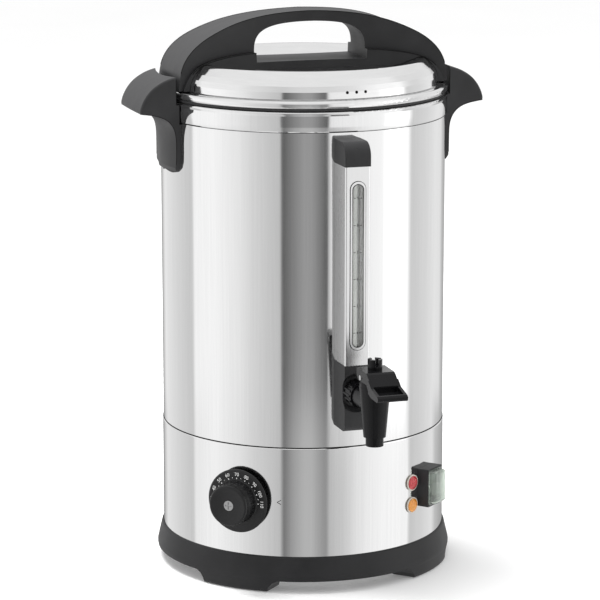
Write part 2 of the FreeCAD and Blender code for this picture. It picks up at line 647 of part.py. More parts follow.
body_r = VAL["body_r"]
side_top = smooth([(122.0, -45, 440.8), (129.0, -45, 439.4), (138.0, -45, 435.6), (146.0, -45, 429.9), (152.2, -45, 422.0),
                   (155.6, -45, 413.8)])
side_nose = smooth([(155.6, -45, 413.8), (155.9, -45, 410.8), (154.7, -45, 407.4)])
side_prism = prism([side_top, side_nose,
                    line((154.7, -45, 407.4), (154.7, -45, 350.0)),
                    line((154.7, -45, 350.0), (110, -45, 350.0)), line((110, -45, 350.0), (110, -45, 440.8)),
                    line((110, -45, 440.8), (122.0, -45, 440.8))], (0, 90, 0))
half = [(100, 35.0, 445.0), (100, 35.0, 404.0), (100, 34.8, 399.0), (100, 34.3, 392.0), (100, 34.0, 384.0),
        (100, 33.8, 372.0), (100, 33.0, 365.0), (100, 29.8, 359.0), (100, 23.0, 356.7), (100, 0.0, 356.4)]
front_edge = smooth(half[1:])
back_edge = smooth([(p[0], -p[1], p[2]) for p in half[1:]])
side_width = prism([line(half[0], half[1]), front_edge, back_edge,
                    line((100, -35.0, 404.0), (100, -35.0, 445.0)), line((100, -35.0, 445.0), half[0])], (70, 0, 0))
handle_solid = side_prism.common(side_width)
# the leg wraps round the shell and flares out into the underside of the ear
wrap = smooth([(128.8, 0, 376.0), (129.0, 0, 386.0), (131.0, 0, 395.4), (135.6, 0, 402.2), (142.5, 0, 406.4), (150.0, 0, 408.4),
               (158.0, 0, 409.6), (170.0, 0, 410.6)])
limiter = Part.Face(Part.Wire([
    line((0, 0, 340.0), (127.2, 0, 340.0)), line((127.2, 0, 340.0), (127.2, 0, 358.4)), line((127.2, 0, 358.4), (128.8, 0, 361.6)),
    line((128.8, 0, 361.6), (128.8, 0, 376.0)), wrap,
    line((170.0, 0, 410.6), (170.0, 0, 450.0)), line((170.0, 0, 450.0), (0, 0, 450.0)), line((0, 0, 450.0), (0, 0, 340.0))]))
limiter = limiter.revolve(Vector(0, 0, 0), Vector(0, 0, 1), 360)
handle_solid = handle_solid.common(limiter)
cutter = Part.makeCylinder(body_r + 0.05, 120, Vector(0, 0, 300))
cutter = cutter.fuse(Part.makeCylinder(body_r + 1.5, 20.5, Vector(0, 0, VAL["collar_z"] - 1.2)))
cutter = cutter.fuse(Part.makeCylinder(body_r + 4.2, 40, Vector(0, 0, VAL["collar_top"] - 1.4)))
handle_solid = handle_solid.cut(cutter)
# finger recess under the ear
recess = Part.makeBox(13.8, 54.0, 17.0, Vector(138.5, -27.0, 404.0))
recess = recess.makeFillet(4.0, [e for e in recess.Edges if e.BoundBox.ZLength > 10 or e.BoundBox.ZMin > 420])
shell_in = side_prism.copy()
shell_in.translate(Vector(-3.2, 0, -3.4))
recess = recess.common(shell_in.fuse(Part.makeBox(40, 90, 12, Vector(120, -45, 398))))
handle_solid = handle_solid.cut(recess)
handle_solid = handle_solid.Solids[0] if len(handle_solid.Solids) == 1 else max(handle_solid.Solids, key=lambda s: s.Volume)
rim_edges = [e for e in handle_solid.Edges
             if abs(abs(e.valueAt((e.FirstParameter + e.LastParameter) / 2).y) - 35.0) < 0.02
             and e.valueAt((e.FirstParameter + e.LastParameter) / 2).x > 133
             and e.valueAt((e.FirstParameter + e.LastParameter) / 2).z > 414]
handle_solid = handle_solid.makeFillet(2.2, rim_edges)
boss_holes = Part.makeCylinder(1.8, 6.6, Vector(body_r - 4, 0, 391.0), Vector(1, 0, 0)).fuse(
    Part.makeCylinder(1.8, 6.6, Vector(body_r - 4, 0, 366.0), Vector(1, 0, 0)))
handle_solid = handle_solid.cut(boss_holes)
for label, angle in (("handle_right", 0), ("handle_left", 180)):
    obj = doc.addObject("Part::Feature", label + "_part")
    obj.Shape = handle_solid
    obj.Placement = Placement(Vector(), Rotation(Vector(0, 0, 1), angle))
    node(obj, label)
handle_screws = []
for side in (-1, 1):
    for z, reach in ((366.0, 2.3), (391.0, 2.3)):
        lo, hi = (123.4, 125.0 + reach) if side > 0 else (-125.0 - reach, -123.4)
        head = (121.2, 123.4) if side > 0 else (-123.4, -121.2)
        handle_screws.append(fuse(cyl("x", 1.75, lo, hi, 0.0, z), cyl("x", 3.4, head[0], head[1], 0.0, z)))
node(fuse(*handle_screws), "handle_screws")

# ---------------------------------------------------------------- gauge column
cw, cy = D.column_w, D.column_y
col_out = round_edges(box(-cw, cw, -cy, -118.0, D.column_low, D.column_high), 1.4,
                      lambda e, m: e.BoundBox.ZLength > 50 and m.y < -150)
col_in = box(-(cw - 0.8), cw - 0.8, -(cy - 0.8), -110.0, D.column_low - 1, D.column_high + 1)
rim_block = fuse(box(-6.6, 6.6, -(cy + 0.7), -cy + 0.1, D.slot_low + 4, D.slot_high - 4),
                 cyl("y", 6.6, -(cy + 0.7), -cy + 0.1, 0.0, D.slot_low + 4), cyl("y", 6.6, -(cy + 0.7), -cy + 0.1, 0.0, D.slot_high - 4))
slot = fuse(box(-D.slot_w, D.slot_w, -(cy + 2), -(cy - 3), D.slot_low + 4.6, D.slot_high - 4.6),
            cyl("y", D.slot_w, -(cy + 2), -(cy - 3), 0.0, D.slot_low + 4.6),
            cyl("y", D.slot_w, -(cy + 2), -(cy - 3), 0.0, D.slot_high - 4.6))
node(cut(fuse(col_out, rim_block), col_in, slot, cyl("z", D.body_r + 0.05, 190.0, 400.0)), "gauge_column")
# Clear window behind the slot, the glass tube, and its two seals.
window = fuse(box(-4.55, 4.55, -(cy - 0.2), -(cy - 0.8), D.slot_low + 4.6, D.slot_high - 4.6),
              cyl("y", 4.55, -(cy - 0.2), -(cy - 0.8), 0.0, D.slot_low + 4.6),
              cyl("y", 4.55, -(cy - 0.2), -(cy - 0.8), 0.0, D.slot_high - 4.6),
              box(-8.0, 8.0, -(cy - 0.8), -(cy - 1.6), D.slot_low - 4, D.slot_high + 4))
node(window, "gauge_window")
node(cut(cyl("z", 4.0, 208.0, 389.0, 0.0, -146.0), cyl("z", 2.8, 207.0, 390.0, 0.0, -146.0)), "gauge_tube")
node(fuse(cut(cyl("z", 5.4, 204.4, 210.0, 0.0, -146.0), cyl("z", 4.0, 208.0, 211.0, 0.0, -146.0), cyl("z", 2.8, 203.0, 209.0, 0.0, -146.0)),
          cut(cyl("z", 5.4, 386.0, 390.5, 0.0, -146.0), cyl("z", 4.0, 385.0, 389.0, 0.0, -146.0), cyl("z", 2.8, 385.0, 391.0, 0.0, -146.0))), "gauge_seals")
# Black cap over the column with a rounded front top edge.
cap = round_edges(box(-cw - 0.4, cw + 0.4, -(cy + 0.8), -116.0, D.column_high, D.cap_high), 12.5,
                  lambda e, m: m.y < -150 and m.z > 390 and e.BoundBox.XLength > 10)
cap = round_edges(cap, 1.0, lambda e, m: abs(abs(m.x) - 11.4) < 0.05 and m.z > 376.5 and m.y < -120)
node(cut(cap, cyl("z", 5.45, D.column_high - 1, 390.6, 0.0, -146.0),
         box(-1.0, 1.0, -146.0, -140.0, D.column_high - 1, 390.6),
         cyl("z", D.body_r + 0.05, 300.0, D.collar_z - 0.2), cyl("z", D.body_r + 1.4, D.collar_z - 0.2, 430.0)), "gauge_cap")

# ---------------------------------------------------------------- tap bracket
# Black shoe under the column; its front is scooped round the shank.
shoe = round_edges(box(-cw - 0.4, cw + 0.4, -(cy + 0.8), -116.0, D.bracket_low, D.column_low), 5.0,
                   lambda e, m: m.z < 149 and m.y < -150)
shoe = fuse(shoe, box(-(cw - 0.85), cw - 0.85, -(cy - 4.6), -130.0, D.column_low, D.column_low + 3.0))
scoop = cone("y", 17.9, 12.9, -(cy + 2), -(cy - 5.0), 0.0, D.shank_z)
node(cut(shoe, scoop, cyl("y", D.shank_r + 0.1, -160.0, -100.0, 0.0, D.shank_z),
         box(-10.6, 10.6, -151.0 + 9.0, -110.0, D.shank_z - 11.0, D.shank_z + 11.4),
         cyl("z", 5.6, D.column_low - 1.5, D.column_low + 4, 0.0, -146.0),
         box(-2.2, 2.2, -148.0, -136.5, D.column_low - 6.0, D.column_low - 1.0),
         cyl("z", 2.2, D.shank_z + 10.0, D.column_low - 4.0, 0.0, -138.0),
         cyl("z", D.body_r + 0.05, 100.0, 260.0)), "tap_bracket")
# Sleeve round the shank that feeds the gauge tube.
sleeve = cut(fuse(cyl("y", 10.4, -141.8, -128.0, 0.0, D.shank_z),
                  box(-5.4, 5.4, -141.8, -134.0, D.shank_z, D.shank_z + 11.2)),
             cyl("y", D.shank_r + 0.05, -150.0, -120.0, 0.0, D.shank_z),
             cyl("z", 2.0, D.shank_z, D.shank_z + 10.0, 0.0, -138.0),
             cyl("z", D.body_r + 0.9, 100.0, 260.0))
node(sleeve, "gauge_tee")

# ---------------------------------------------------------------- tap
ty = D.tap_y
sh = D.shank_z
barrel = fuse(cone("z", D.barrel_r2, D.barrel_r, D.barrel_low, D.barrel_top, 0.0, -ty),
              cyl("z", D.outlet_r, D.outlet_low, D.barrel_low + 1.0, 0.0, -ty),
              cyl("y", D.shank_r, -(ty - 6.0), -104.0, 0.0, sh),
              cyl("y", 10.6, -166.0, -163.6, 0.0, sh),
              cyl("y", 9.4, -(ty - 9.0), -166.0, 0.0, sh))
tap_body = cut(barrel,
               cyl("z", D.chamber_r, D.seat_z, D.barrel_top + 1, 0.0, -ty),
               cyl("z", D.outlet_bore, D.outlet_low - 1, D.seat_z + 1, 0.0, -ty),
               cyl("y", D.shank_bore, -(ty - 4.0), -100.0, 0.0, sh),
               cyl("z", 2.0, sh, sh + 9.0, 0.0, -138.0))
node(tap_body, "tap_body")
# Ribbed lock ring between the bracket and the barrel.
ribs = []
for k in range(16):
    a = math.radians(22.5 * k)
    ribs.append(cyl("y", 1.1, -163.6, -(VAL["column_y"] - 4.9), 10.2 * math.cos(a), VAL["shank_z"] + 10.2 * math.sin(a)))
node(cut(fuse(cyl("y", 10.2, -163.6, -(cy - 5.0), 0.0, sh), *ribs), cyl("y", D.shank_r + 0.05, -170.0, -140.0, 0.0, sh)), "tap_ring")
# Nut and washer inside the tank, washer outside it.
nut = doc.addObject("Part::Prism", "tap_nut_prism")
nut.Polygon = 6
nut.Circumradius = 13.2
nut.Height = 5.0
place(nut, (0.0, -(D.tank_r - 10.4), sh), Rotation(Vector(1, 0, 0), -90))
node(cut(nut, cyl("y", D.shank_r + 0.04, -120.0, -90.0, 0.0, sh)), "tap_nut")
node(fuse(cut(cyl("y", 12.0, -(D.tank_r - 1.4), -(D.tank_r - 10.4), 0.0, sh), cyl("y", D.shank_r + 0.04, -120.0, -90.0, 0.0, sh),
              cut(cyl("y", 14.0, -121.0, -100.0, 0.0, sh), cyl("z", D.tank_r - D.skin - 0.05, 100.0, 260.0))),
          cut(cyl("y", 11.0, -124.0, -(D.tank_r - 2.0), 0.0, sh), cyl("y", D.shank_r + 0.04, -130.0, -90.0, 0.0, sh),
              cyl("z", D.tank_r + 0.05, 100.0, 260.0),
              cut(cyl("y", 14.0, -130.0, -110.0, 0.0, sh), cyl("z", D.body_r - D.skin - 0.05, 100.0, 260.0)))), "tap_washers")

# Bonnet, seat cup, stem and spring.
bonnet = fuse(cyl("z", 12.9, D.barrel_top, D.bonnet_top - 1.4, 0.0, -ty), cone("z", 12.9, 11.7, D.bonnet_top - 1.4, D.bonnet_top, 0.0, -ty),
              cyl("z", 9.1, D.barrel_top - 3.0, D.barrel_top, 0.0, -ty))
node(cut(bonnet, cyl("z", D.stem_r + 0.06, 190.0, 210.0, 0.0, -ty), cyl("z", 7.4, D.barrel_top - 4.0, D.barrel_top - 0.5, 0.0, -ty)), "tap_bonnet")
node(cut(cyl("z", D.stem_r, D.seat_z + 3.0, D.pin_z + 2.6, 0.0, -ty),
         cyl("x", D.pin_r + 0.05, -5.0, 5.0, -ty, D.pin_z)), "tap_stem")
node(cut(fuse(cone("z", 4.4, 6.4, D.seat_z - 1.2, D.seat_z + 0.8, 0.0, -ty), cyl("z", 6.4, D.seat_z + 0.8, D.seat_z + 7.0, 0.0, -ty)),
         cut(cyl("z", 20.0, D.seat_z - 3.0, D.seat_z + 0.25, 0.0, -ty), cyl("z", 4.6, D.seat_z - 4.0, D.seat_z + 0.3, 0.0, -ty)),
         cyl("z", D.stem_r, D.seat_z + 3.0, D.seat_z + 9.0, 0.0, -ty)), "tap_seat_cup")
spring_low, spring_high = VAL["seat_z"] + 7.5, VAL["barrel_top"] - 1.0
helix = Part.makeHelix((spring_high - spring_low) / 6.0, spring_high - spring_low, 4.6)
wire_face = Part.Wire([Part.makeCircle(0.45, Vector(4.6, 0, 0), Vector(0, 1, 0))])
coil = Part.Wire(helix.Edges).makePipeShell([wire_face], True, True)
coil.translate(Vector(0, -VAL["tap_y"], spring_low))
spring = doc.addObject("Part::Feature", "tap_spring_part")
spring.Shape = coil
node(spring, "tap_spring")

# Lever: a hollow cap over the stem head with a sloped front and a finger lip.
lever = new_body("lever_profile")
yz = lambda dy, z: (-(D.tap_y + dy), z)
pad(lever, "YZ_Plane", [
    yz(-11.0, 213.2), yz(13.4, 213.2), yz(15.8, 212.2), yz(28.6, 203.6), yz(43.6, 200.4), yz(45.6, 199.0), yz(45.6, 196.8),
    yz(43.8, 195.4), yz(28.0, 195.8), yz(19.4, 198.6), yz(14.2, 203.4), yz(-7.0, 203.4), yz(-11.0, 206.4)], 26.2, both=True)
lever_hollow = box(-4.4, 4.4, -(ty + 9.4), -(ty - 20.0), 200.0, 210.6)
lever_sides = fuse(box(-14.0, -12.3, -(ty + 21.0), -(ty - 20.0), 190.0, 220.0),
                   box(12.3, 14.0, -(ty + 21.0), -(ty - 20.0), 190.0, 220.0))
lip_dish = round_edges(box(-10.6, 10.6, -(ty + 42.0), -(ty + 27.0), 199.6, 206.0), 1.0, lambda e, m: e.BoundBox.ZLength > 3)
node(cut(lever, lever_hollow, lever_sides, lip_dish, cyl("x", D.pin_r, -20.0, 20.0, -ty, D.pin_z)), "tap_lever")
node(fuse(cyl("x", D.pin_r, -12.3, 12.3, -ty, D.pin_z), cyl("x", 2.2, -13.2, -12.3, -ty, D.pin_z),
          cyl("x", 2.2, 12.3, 13.2, -ty, D.pin_z)), "tap_pin")
crown = cut(cyl("z", 6.1, 213.2, 221.8, 0.0, -ty), box(-1.8, 1.8, -(ty + 8), -(ty - 8), 216.4, 223.0),
            cyl("z", 3.2, 216.4, 223.0, 0.0, -ty), box(-8.0, 8.0, -(ty + 1.5), -(ty - 1.5), 217.6, 223.0))
node(crown, "lever_crown")

# ---------------------------------------------------------------- lid
# Pressed lid: a rolled bead, a steep shoulder up to a rounded ridge, and a
# dished centre that takes the handle.
LID = [(0.0, D.dish_z), (80.0, D.dish_z), (86.0, D.dish_z + 1.2), (92.0, D.dish_z + 3.8), (97.6, D.ridge_z - 1.7, (100.3, 449.45)),
       (D.ridge_r, D.ridge_z, (106.4, 449.2)), (109.0, D.ridge_z - 2.6), (113.2, 443.0), (116.4, 438.4), (118.0, 433.6),
       (118.5, 427.9), (119.6, 427.2), (123.9, 427.2, (126.2, 426.2)), (D.rim_r, 423.9, (126.4, 421.5)), (124.6, 420.6)]
UNDER = [(124.2, 421.3, (125.6, 422.0)), (D.rim_r - 0.7, 423.9, (125.6, 425.7)), (123.9, 426.5), (119.2, 426.5), (117.8, 427.6),
         (117.3, 433.4), (115.8, 438.0), (112.7, 442.5), (108.5, D.ridge_z - 3.2, (106.2, 448.45)), (D.ridge_r, D.ridge_z - 0.7, (100.6, 448.8)),
         (98.0, D.ridge_z - 2.35), (92.4, D.dish_z + 3.15), (86.2, D.dish_z + 0.5), (80.1, D.dish_z - 0.7), (0.0, D.dish_z - 0.7)]
lid_sheet = new_body("lid_dome_profile")
revolve(lid_sheet, LID + UNDER)
vent_holes = []
for deg in (0.9, 4.95, 9.0):
    a = math.radians(deg)
    v = cyl("z", 1.35, -8.0, 8.0)
    v.Placement = Placement(Vector(117.6 * math.sin(a), -117.6 * math.cos(a), 433.0),
                            Rotation(Vector(0, 0, 1), deg).multiply(Rotation(Vector(1, 0, 0), 90)))
    vent_holes.append(v)
lid_screw_at = ((-62.0, 0.0), (0.0, 0.0), (62.0, 0.0))
lid_holes = [cyl("z", 2.2, D.dish_z - 3, D.dish_z + 2, x, y) for x, y in lid_screw_at]
node(cut(lid_sheet, *(vent_holes + lid_holes)), "lid_dome")
# Locating ring under the lid, and the seal that it rests on.
loc = new_body("lid_locating_ring")
revolve(loc, [(116.2, 407.0), (116.8, 406.4), (117.0, 407.0), (117.0, 426.3), (118.6, 426.3), (118.6, 426.5),
              (116.4, 426.5), (116.4, 407.4)])
NODES.append(loc)
seal = new_body("lid_seal")
revolve(seal, [(118.9, 418.15), (123.4, 418.15), (124.1, 418.8), (124.1, 421.2), (123.2, 422.4), (122.6, 426.4),
               (119.8, 426.4), (119.8, 420.4), (118.9, 419.6)])
NODES.append(seal)

# Arched lid handle: side view and plan view drawn as outlines, the solid is
# what they share, with a finger opening, cut underneath to the lid.
az_ = VAL["arch_z"]
arch_pts = [(0.0, az_), (34.0, az_ - 2.0), (53.0, az_ - 4.9), (70.0, az_ - 9.2), (88.0, az_ - 16.2), (104.0, az_ - 25.4),
            (113.2, az_ - 34.4), (118.4, az_ - 43.6), (121.0, az_ - 54.0), (122.0, az_ - 64.0)]
right = smooth([(x, -60, z) for x, z in arch_pts])
left = smooth([(-x, -60, z) for x, z in arch_pts])
arch = prism([right, line((122.0, -60, az_ - 64.0), (122.0, -60, 400)), line((122.0, -60, 400), (-122.0, -60, 400)),
              line((-122.0, -60, 400), (-122.0, -60, az_ - 64.0)), left], (0, 120, 0))
plan = [(0.0, 15.6), (28.0, 16.6), (56.0, 20.6), (84.0, 26.8), (106.0, 31.6), (130.0, 35.5)]
edge_r = smooth([(x, -y, 400) for x, y in plan])
edge_l = smooth([(-x, -y, 400) for x, y in plan])
edge_r2 = smooth([(x, y, 400) for x, y in plan])
edge_l2 = smooth([(-x, y, 400) for x, y in plan])
plan_prism = prism([edge_l, edge_r, line((130, -35.5, 400), (130, 35.5, 400)), edge_r2, edge_l2,
                    line((-130, 35.5, 400), (-130, -35.5, 400))], (0, 0, 120))
# the foot of the handle spreads out under a crease
plan_foot = [(0.0, 23.6), (28.0, 24.4), (56.0, 27.6), (84.0, 32.6), (106.0, 36.4), (118.0, 37.6)]
foot_prism = prism([smooth([(-x, -y, 400) for x, y in plan_foot]), smooth([(x, -y, 400) for x, y in plan_foot]),
                    line((118.0, -37.6, 400), (118.0, 37.6, 400)),
                    smooth([(x, y, 400) for x, y in plan_foot]), smooth([(-x, y, 400) for x, y in plan_foot]),
                    line((-118.0, 37.6, 400), (-118.0, -37.6, 400))], (0, 0, 120))
foot_curve = [(0.0, 457.9), (50.0, 457.5), (66.0, 456.4), (84.0, 454.0), (98.0, 450.4), (106.0, 446.4), (111.6, 441.0),
              (115.6, 434.6), (118.5, 427.0)]
foot_side = prism([smooth([(-x, -60, z) for x, z in foot_curve]), smooth([(x, -60, z) for x, z in foot_curve]),
                   line((118.5, -60, 427.0), (118.5, -60, 400)), line((118.5, -60, 400), (-118.5, -60, 400)),
                   line((-118.5, -60, 400), (-118.5, -60, 427.0))], (0, 120, 0))
upper = arch.common(plan_prism)
# finger opening
open_half = [(50.0, 449.4), (50.4, 458.0), (49.8, 465.5), (46.8, 472.0), (40.5, 476.8), (30.0, 480.2), (15.0, 482.0)]
open_pts = [(-x, z) for x, z in open_half] + [(0.0, 482.5)] + open_half[::-1]
opening = prism([smooth([(x, -60, z) for x, z in open_pts]), line((50.0, -60, 449.4), (-50.0, -60, 449.4))], (0, 120, 0))
upper = upper.cut(opening)
lower = foot_side.common(foot_prism).cut(opening)
handle = upper.fuse(lower)
# the lid's own outline, a little proud, is taken away from the underside
def flat(r, z):
    return Vector(r, 0, z)


under_pts = [(0.0, 442.65), (80.0, 442.65), (86.0, 443.88), (92.0, 446.5), (97.55, 448.2)]
under_edges = [Part.LineSegment(flat(*p), flat(*q)).toShape() for p, q in zip(under_pts, under_pts[1:])]
under_edges.append(Part.Arc(flat(97.55, 448.2), flat(100.25, 449.57), flat(103.4, 449.92)).toShape())
under_edges.append(Part.Arc(flat(103.4, 449.92), flat(106.45, 449.32), flat(109.1, 447.32)).toShape())
over_pts = [(109.1, 447.32), (113.32, 443.1), (116.54, 438.47), (118.14, 433.64), (118.64, 428.05), (132.0, 428.05),
            (132.0, 390.0), (0.0, 390.0), (0.0, 442.65)]
under_edges += [Part.LineSegment(flat(*p), flat(*q)).toShape() for p, q in zip(over_pts, over_pts[1:])]
lid_space = Part.Face(Part.Wire(under_edges)).revolve(Vector(0, 0, 0), Vector(0, 0, 1), 360)
handle = handle.cut(lid_space)
handle = handle.common(Part.makeCylinder(body_r + 2.9, 120, Vector(0, 0, 400)))
# the two broad feet are hollow mouldings, open underneath, with a screw boss
for side in (-1, 1):
    core_side = Part.makePolygon([Vector(side * x, -60, z) for x, z in (
        (56.0, 436.0), (56.0, 470.0), (60.0, 476.5), (66.0, 477.0), (86.0, 469.5), (99.0, 461.5), (107.5, 453.0), (111.8, 445.0),
        (112.6, 436.0), (56.0, 436.0))])
    core_plan = Part.makePolygon([Vector(side * x, y, 430) for x, y in (
        (56.0, -17.0), (84.0, -23.0), (112.6, -29.1), (112.6, 29.1), (84.0, 23.0), (56.0, 17.0), (56.0, -17.0))])
    core = Part.Face(core_side).extrude(Vector(0, 120, 0)).common(Part.Face(core_plan).extrude(Vector(0, 0, 80)))
    core = core.cut(Part.makeCylinder(4.6, 60, Vector(side * 62.0, 0, 430)))
    handle = handle.cut(core)
for x, y in lid_screw_at:
    handle = handle.cut(Part.makeCylinder(1.8, 6.0, Vector(x, y, VAL["dish_z"] - 2.0)))
handle = handle.removeSplitter()
if len(handle.Solids) != 1:
    handle = max(handle.Solids, key=lambda s: s.Volume)
top_edges = []
for e in handle.Edges:
    m = e.valueAt((e.FirstParameter + e.LastParameter) / 2)
    if e.Length > 60 and m.z > 470 and abs(m.y) > 15:
        top_edges.append(e)
arch_obj = doc.addObject("Part::Feature", "lid_handle_part")
arch_obj.Shape = handle if handle.ShapeType == "Solid" else handle.Solids[0]
node(arch_obj, "lid_handle")
lid_screws = []
for x, y in lid_screw_at:
    lid_screws.append(cut(fuse(cyl("z", 1.8, D.dish_z - 0.7, D.dish_z + 3.9, x, y), cyl("z", 4.0, D.dish_z - 2.9, D.dish_z - 0.7, x, y)),
                          box(x - 2.4, x + 2.4, y - 0.5, y + 0.5, D.dish_z - 3.2, D.dish_z - 2.0),
                          box(x - 0.5, x + 0.5, y - 2.4, y + 2.4, D.dish_z - 3.2, D.dish_z - 2.0)))
node(fuse(*lid_screws), "lid_screws")

# ---------------------------------------------------------------- checks, export
doc.recompute()
for obj in doc.Objects:
    bad = [s for s in obj.State if s in ("Invalid", "Error")]
    if bad:
        raise RuntimeError("%s (%s): %s" % (obj.Name, obj.Label, bad))
os.makedirs("parts", exist_ok=True)
names = set()
for obj in NODES:
    shape = obj.Shape
    if shape.isNull() or not shape.isValid():
        raise RuntimeError("bad shape: " + obj.Label)
    if not shape.Solids:
        raise RuntimeError("no solid: " + obj.Label)
    if obj.Label in names:
        raise RuntimeError("label used twice: " + obj.Label)
    names.add(obj.Label)
    box_ = shape.BoundBox
    print("%-20s solids %2d  volume %10.1f  x %.1f %.1f  y %.1f %.1f  z %.1f %.1f" % (
        obj.Label, len(shape.Solids), shape.Volume, box_.XMin, box_.XMax, box_.YMin, box_.YMax, box_.ZMin, box_.ZMax))
for name in os.listdir("parts"):
    if name.endswith(".step") and name[:-5] not in names:
        os.remove(os.path.join("parts", name))
for obj in NODES:
    obj.Shape.exportStep("parts/%s.step" % obj.Label)
print("nodes", len(NODES))
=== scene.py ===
import bpy
import bmesh
import math
from mathutils import Matrix, Vector


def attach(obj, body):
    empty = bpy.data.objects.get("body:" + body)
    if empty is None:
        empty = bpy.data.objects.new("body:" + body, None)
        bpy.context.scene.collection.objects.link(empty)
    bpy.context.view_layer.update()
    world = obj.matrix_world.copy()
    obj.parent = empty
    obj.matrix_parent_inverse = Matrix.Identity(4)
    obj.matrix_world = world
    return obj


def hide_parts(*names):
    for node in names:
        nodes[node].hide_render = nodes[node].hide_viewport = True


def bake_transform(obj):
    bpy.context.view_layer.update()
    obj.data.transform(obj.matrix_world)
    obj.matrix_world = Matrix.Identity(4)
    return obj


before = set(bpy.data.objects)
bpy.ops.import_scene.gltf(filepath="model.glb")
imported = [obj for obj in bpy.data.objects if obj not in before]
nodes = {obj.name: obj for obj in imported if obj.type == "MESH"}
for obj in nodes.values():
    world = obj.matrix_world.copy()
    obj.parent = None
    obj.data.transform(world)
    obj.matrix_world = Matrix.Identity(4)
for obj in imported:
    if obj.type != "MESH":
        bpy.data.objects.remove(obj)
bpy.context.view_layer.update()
scene = bpy.context.scene
MM = 0.001


# ------------------------------------------------------------------ camera
CAM_AZ = math.radians(-17.5)
TOWARD = Vector((math.sin(CAM_AZ), -math.cos(CAM_AZ), 0.0))
SIDE = Vector((math.cos(CAM_AZ), math.sin(CAM_AZ), 0.0))
cam_data = bpy.data.cameras.new("camera")
cam_data.lens = 171.98
cam_data.sensor_width = 36.0
cam_data.clip_start = 0.05
cam_data.clip_end = 60.0
cam = bpy.data.objects.new("camera", cam_data)
scene.collection.objects.link(cam)
cam.location = TOWARD * 2.5 + Vector((0, 0, 0.7571))
pitch = 0.20711
look = (-TOWARD * math.cos(pitch) + Vector((0, 0, -math.sin(pitch))))
look = Matrix.Rotation(0.00104, 3, "Z") @ look
cam.rotation_euler = look.to_track_quat("-Z", "Y").to_euler()
scene.camera = cam
scene.view_settings.view_transform = "Standard"
scene.view_settings.look = "None"


# ------------------------------------------------------------------ studio
def ramp_stops(node, stops, interpolation="LINEAR"):
    ramp = node.color_ramp
    ramp.interpolation = interpolation
    while len(ramp.elements) > 1:
        ramp.elements.remove(ramp.elements[-1])
    ramp.elements[0].position = stops[0][0]
    ramp.elements[0].color = (*[stops[0][1]] * 3, 1) if isinstance(stops[0][1], (int, float)) else (*stops[0][1], 1)
    for position, value in stops[1:]:
        e = ramp.elements.new(position)
        e.color = (value, value, value, 1) if isinstance(value, (int, float)) else (*value, 1)


